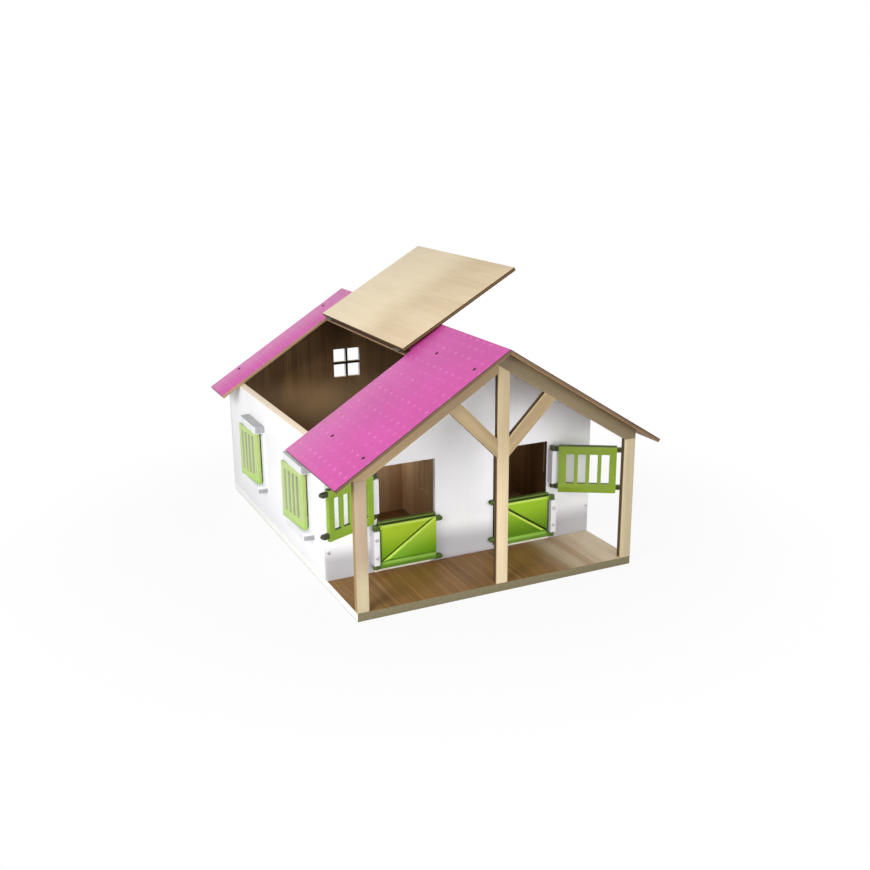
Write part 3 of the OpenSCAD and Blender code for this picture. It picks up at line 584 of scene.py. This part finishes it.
def finish_faces(piece, default, rules):
    """Give each face the first rule's material whose test on centre and normal is true."""
    names = [default] + [name for name, _ in rules]
    for name in names:
        piece.data.materials.append(MATERIALS[name])
    for face in piece.data.polygons:
        face.material_index = 0
        for i, (_, test) in enumerate(rules, 1):
            if test(face.center, face.normal):
                face.material_index = i
                break


def dress(node, width, default, rules=(), along=Z, across=X, origin=None, segments=2):
    """Replace a node by its softened copy with a finish for each face.

    The grain counts from the origin. Without one it starts anywhere, so that no two boards show
    the same stretch of wood.
    """
    piece = softened(node, width, segments)
    shift = Vector()
    if origin is None:
        draw = random.Random(node)
        origin, shift = BARN, Vector([draw.uniform(0, GRAIN_SHIFT) for _ in range(3)])
    set_grain(piece, along, across, origin, shift)
    finish_faces(piece, default, rules)
    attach(piece, BODY_OF[node])
    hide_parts(node)


# How far a normal leans to an axis: at a slant, more than halfway, or squarely
SLANT, MOSTLY, SQUARE = 0.3, 0.6, 0.9


def facing(direction, least=SQUARE):
    """Test for faces that look along direction."""
    return lambda centre, normal: normal.dot(direction) > least


def facing_either(axis, least=SQUARE):
    """Test for faces that look along an axis, one way or the other."""
    return lambda centre, normal: abs(normal.dot(axis)) > least


def board_normal(node):
    """Upward normal of a board's largest face."""
    mesh = NODES[node].data
    normal = max(mesh.polygons, key=lambda face: face.area).normal
    return normal.copy() if normal.z > 0 else -normal


OUT_LEFT = board_normal("roof_left")
OUT_RIGHT = board_normal("roof_right")
UP_LEFT = Vector((OUT_LEFT.z, 0, -OUT_LEFT.x))
UP_RIGHT = Vector((-OUT_RIGHT.z, 0, OUT_RIGHT.x))

# Floor and walls
JAMB_SHADE_X = (0.09, 0.15)       # painted shade: the far side of the right doorway is dark
dress("floor_board", BOARD, "floor",
      (("edge", facing(-Y)), ("base_edge", facing_either(X)), ("base_edge", facing(Y))),
      along=Y)
dress("front_wall", BOARD, "front",
      (("brown", facing(Y)), ("jamb", lambda c, n: n.x < -SQUARE and JAMB_SHADE_X[0] < c.x < JAMB_SHADE_X[1])))
dress("back_wall", BOARD, "bare",
      (("white", facing(Y)), ("back", facing(-Y)), ("wall_end", facing_either(X))))
for name, out in (("left_wall", -X), ("right_wall", X)):
    dress(name, BOARD, "cream", (("white", facing(out)), ("brown", facing(-out))), across=Y)
dress("stall_back_wall", BOARD, "stall")
dress("stall_divider", BOARD, "peach", across=Y)

# Roof boards: the tile rows count from the ridge, and their columns from the front edge
ROOF_LOW, ROOF_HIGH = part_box("roof_left")
ROOF_FRONT = ROOF_LOW.y


def in_opening(centre, normal):
    """Test for the edges of the roof opening."""
    end = abs(normal.y) > SQUARE and abs(centre.y) < 0.9 * abs(ROOF_FRONT)
    step = normal.z < -SLANT and centre.z > ROOF_LOW.z + 20 * MM
    return end or step


# Painted shade: the roof boards' undersides get the dark under wood
for name, up, out, paint in (("roof_left", UP_LEFT, OUT_LEFT, "pink_left"),
                             ("roof_right", UP_RIGHT, OUT_RIGHT, "pink")):
    dress(name, BOARD, "roof_edge",
          ((paint, facing(out)), ("under", facing(-out)), ("notch", in_opening)),
          along=-up, across=Y, origin=(0, ROOF_FRONT, ROOF_HIGH.z))

# Flap, lifted over the ridge with its painted face down
FLAP_BACK = board_normal("roof_flap")       # unpainted face, on top in the lifted pose
FLAP_LOW, FLAP_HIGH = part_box("roof_flap")
dress("roof_flap", BOARD, "flap_edge",
      (("veneer", facing(FLAP_BACK)), ("pink", facing(-FLAP_BACK))),
      along=Y, across=(FLAP_BACK.z, 0, -FLAP_BACK.x), origin=(FLAP_LOW + FLAP_HIGH) / 2)

# Truss and battens
# Painted light: the left post's outer side is a paler, lit copy of the dark side wood
dress("post_left", STICK, "post_front", (("olive", facing(-X)), ("side", facing(X))))
dress("post_middle", STICK, "pale", (("side", facing_either(X)),))
dress("post_right", STICK, "post", (("side", facing_either(X)),))
for name, up, tone in (("rafter_left", UP_LEFT, "left_rafter"),
                       ("rafter_right", UP_RIGHT, "rafter")):
    dress(name, STICK, tone,
          (("side", facing(-OUT_LEFT, 0.8)), ("side", facing(-OUT_RIGHT, 0.8))),
          along=up, across=Y)
for name, along in (("brace_left", Z - X), ("brace_right", Z + X)):
    dress(name, STICK, "brace", (("side", lambda c, n: abs(n.y) < 0.5),), along=along, across=Y)
for name, up in (("back_batten_left", UP_LEFT), ("back_batten_right", UP_RIGHT)):
    dress(name, STICK, "rafter", along=up, across=Y)

# Mouldings: faces that look up or lie in the grooves get painted light and shade, lit and shaded
# copies of the green
LEDGE_Z = (0.0205, 0.0300)      # groove above the foot of a lower door
HEM_Z, FOOT_Z, RAIL_Z = 0.0165, 0.0215, 0.0685      # fronts of its lower edge, foot and top rail


def on_ledge(centre):
    """Whether a place is in the groove above a lower door's foot."""
    return LEDGE_Z[0] < centre.z < LEDGE_Z[1]


LOWER_RULES = (
    ("green_rim", lambda c, n: n.z > SLANT and on_ledge(c)),
    ("green_mid", lambda c, n: n.z < -SLANT and on_ledge(c)),
    ("green_dark", lambda c, n: n.z < -SLANT),
    ("green_top", lambda c, n: n.z > SQUARE),
    ("green_light", lambda c, n: n.z > SLANT),
    ("green_dark", lambda c, n: n.y < -SQUARE and c.z < HEM_Z),
    ("green_mid", lambda c, n: n.y < -SQUARE and c.z < FOOT_Z),
    ("green_top", lambda c, n: n.y < -SQUARE and c.z > RAIL_Z),
)
DOOR_HINGE = (118.6 * MM, -150.2 * MM)         # |x| and y of the upper doors' axes
UPPER_OPENING = {"left": 24, "right": 31}      # degrees between the open leaf and the wall
SHUTTER_RIM = 4 * MM                           # from a shutter's end to its slots
LINTEL_Z = 0.12                                # only the lintel of a window frame is above this


def open_leaf(side):
    """Hinge axis of an upper door and the direction of its leaf, as the photograph has it."""
    out = -1 if side == "left" else 1
    angle = math.radians(UPPER_OPENING[side])
    return (out * DOOR_HINGE[0], DOOR_HINGE[1], 0), (out * math.cos(angle), -math.sin(angle), 0)


def slot_walls(name):
    """Test for the walls of a shutter's slots."""
    front, back = (v.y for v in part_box(name))
    return lambda c, n: abs(n.y) > 0.8 and front + SHUTTER_RIM < c.y < back - SHUTTER_RIM


# Painted light: the left doors' green is a paler copy of the right doors', lit where those are in
# shade
for side, panel, leaf_tone in (("left", "green_panel", "green_left"),
                               ("right", "green_right", "green")):
    dress("lower_door_" + side, PANEL, panel, LOWER_RULES, origin=BARN)
    hinge, leaf = open_leaf(side)
    # Painted shade: the upper doors' upward faces are near black
    dress("upper_door_" + side, MOULDING, leaf_tone, (("green_black", facing(Z, MOSTLY)),),
          across=leaf, origin=hinge, segments=SMOOTH)
    for end in ("front", "back"):
        shutter = "shutter_" + side + "_" + end
        # Painted light: the slot walls are paler than the leaf, against the shade inside the slots
        dress(shutter, MOULDING, "green_shutter", (("shutter_slot", slot_walls(shutter)),),
              segments=SMOOTH)
        # Painted shade: the lintel's top and the frame's ends are grey copies of the white plastic
        dress("window_frame_" + side + "_" + end, MOULDING, "plastic",
              (("plastic_top", lambda c, n: n.z > MOSTLY and c.z > LINTEL_Z),
               ("frame_end", facing_either(Y, MOSTLY))),
              along=Y, across=Z, origin=BARN, segments=SMOOTH)
    for level in ("lower", "upper"):
        # Painted shade: a hinge post's left side is a grey copy of the white plastic
        dress(level + "_hinge_post_" + side, MOULDING, "plastic",
              (("plastic_side", facing(-X, MOSTLY)),), segments=SMOOTH)

# Hinge metal and screws
for name, slot in SLOT_OF.items():
    if slot == "hinge_steel":
        dress(name, PLATE, "zinc")
    elif slot == "screw_steel":
        dress(name, SCREW_HEAD, "roof_screw" if name.startswith("roof") else "screw")


# ---------------------------------------------------------------- floor, light and camera

FLOOR_REACH, FLOOR_DROP = 40, 0.2 * MM       # half its width, and its depth under the barn
SHADOW_GLOW, SHADOW_FADE = 0.90, (0.28, 0.60)   # share of plain white near the barn, up to where
WORLD_LEVEL = 0.46
LAMP_AIM = Vector((0, -0.05, 0.12))
LAMPS = (                                    # name, place, diameter, watts
    ("key", (-2.1, -1.3, 1.2), 1.2, 42),
    ("front_fill", (0.2, -2.7, 0.45), 1.8, 27),
    ("right_fill", (1.5, -2.3, 0.35), 1.8, 13),
    ("back_fill", (0.3, 2.9, 0.1), 1.8, 8),
)
CAMERA_PLACE = (-0.53985, -1.18971, 0.50717)
CAMERA_TURN = (1.285, 0.007, -0.449)
CAMERA_LENS, CAMERA_SENSOR, CAMERA_REACH = 43.22, 36, 100


def background_rays(tree):
    """One for rays that see the background: from the camera, or by way of metal or glass."""
    path = tree.nodes.new("ShaderNodeLightPath")
    seen = path.outputs["Is Camera Ray"]
    for ray in ("Is Glossy Ray", "Is Transmission Ray"):
        either = tree.nodes.new("ShaderNodeMath")
        either.operation = "MAXIMUM"
        tree.links.new(seen, either.inputs[0])
        tree.links.new(path.outputs[ray], either.inputs[1])
        seen = either.outputs[0]
    return seen


def stage_floor():
    """A large pale floor: white to the camera, with the barn's soft shadow kept faint near it."""
    mesh = bpy.data.meshes.new("studio_floor")
    far = FLOOR_REACH
    mesh.from_pydata([(-far, -far, 0), (far, -far, 0), (far, far, 0), (-far, far, 0)],
                     [], [(0, 1, 2, 3)])
    floor = bpy.data.objects.new("studio_floor", mesh)
    bpy.context.scene.collection.objects.link(floor)
    floor.location.z = -FLOOR_DROP
    s = Shader("studio_floor", 0.9, 0.0)
    nodes, links = s.tree.nodes, s.tree.links
    cloud = s.noise(s.place(), 3, 2)
    s.set("Base Color", s.mix(s.ramp(cloud, 0.3, 0.7), srgb(236, 236, 237), srgb(232, 232, 234)))
    glow = nodes.new("ShaderNodeEmission")
    glow.inputs["Color"].default_value = (1, 1, 1, 1)
    glow.inputs["Strength"].default_value = 1.0
    seen = background_rays(s.tree)
    distance = nodes.new("ShaderNodeVectorMath")
    distance.operation = "LENGTH"
    links.new(s.place(), distance.inputs[0])
    share = s.calc("MULTIPLY", seen,
                   s.ramp(distance.outputs["Value"], *SHADOW_FADE, SHADOW_GLOW, 1.0))
    blend = nodes.new("ShaderNodeMixShader")
    links.new(share, blend.inputs[0])
    links.new(s.bsdf.outputs[0], blend.inputs[1])
    links.new(glow.outputs[0], blend.inputs[2])
    links.new(blend.outputs[0], nodes["Material Output"].inputs["Surface"])
    mesh.materials.append(s.material)


def area_light(name, place, size, power):
    """A white disk lamp aimed at the barn."""
    light = bpy.data.lights.new(name, "AREA")
    light.shape = "DISK"
    light.size = size
    light.energy = power
    lamp = bpy.data.objects.new(name, light)
    lamp.location = place
    lamp.rotation_euler = (LAMP_AIM - Vector(place)).to_track_quat("-Z", "Y").to_euler()
    bpy.context.scene.collection.objects.link(lamp)


def world_light(level):
    """An even white surrounding that is pure white to the camera."""
    world = bpy.data.worlds.new("studio")
    bpy.context.scene.world = world
    world.use_nodes = True
    nodes, links = world.node_tree.nodes, world.node_tree.links
    background = nodes["Background"]
    strength = nodes.new("ShaderNodeMapRange")
    strength.inputs["To Min"].default_value = level
    strength.inputs["To Max"].default_value = 1.0
    links.new(background_rays(world.node_tree), strength.inputs["Value"])
    links.new(strength.outputs["Result"], background.inputs["Strength"])
    background.inputs["Color"].default_value = (1, 1, 1, 1)


stage_floor()
world_light(WORLD_LEVEL)
for lamp_setting in LAMPS:
    area_light(*lamp_setting)

camera_data = bpy.data.cameras.new("camera")
camera_data.sensor_width = CAMERA_SENSOR
camera_data.lens = CAMERA_LENS
camera_data.clip_end = CAMERA_REACH
camera = bpy.data.objects.new("camera", camera_data)
camera.location = CAMERA_PLACE
camera.rotation_euler = Euler(CAMERA_TURN)
bpy.context.scene.collection.objects.link(camera)
bpy.context.scene.camera = camera

view = bpy.context.scene.view_settings
view.view_transform = "Standard"
